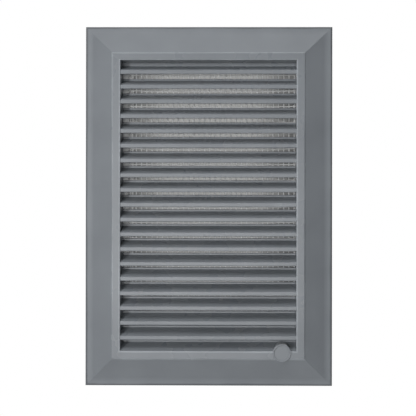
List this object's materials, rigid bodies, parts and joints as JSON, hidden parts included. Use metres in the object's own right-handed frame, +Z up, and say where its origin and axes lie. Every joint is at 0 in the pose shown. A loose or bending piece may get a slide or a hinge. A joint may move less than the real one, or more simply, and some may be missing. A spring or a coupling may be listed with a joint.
{
  "type": "louvred vent",
  "caption": "Rectangular wall vent: bevelled border with mitred corners, raised rim, fixed sloping louvre blades, rear collar and an insect net behind the blades.",
  "frame": {"origin": "middle of the frame on the wall plane that its back bears on", "axes": "+X to the right seen from the front, +Y into the wall, +Z up"},
  "size_m": [0.165, 0.0186, 0.24],
  "materials": {
    "grey_plastic": "satin moulded, cool mid grey",
    "net_plastic": "dull, off-white"
  },
  "bodies": {
    "root": {"grille": "grey_plastic", "insect_screen": "net_plastic"}
  },
  "joints": []
}
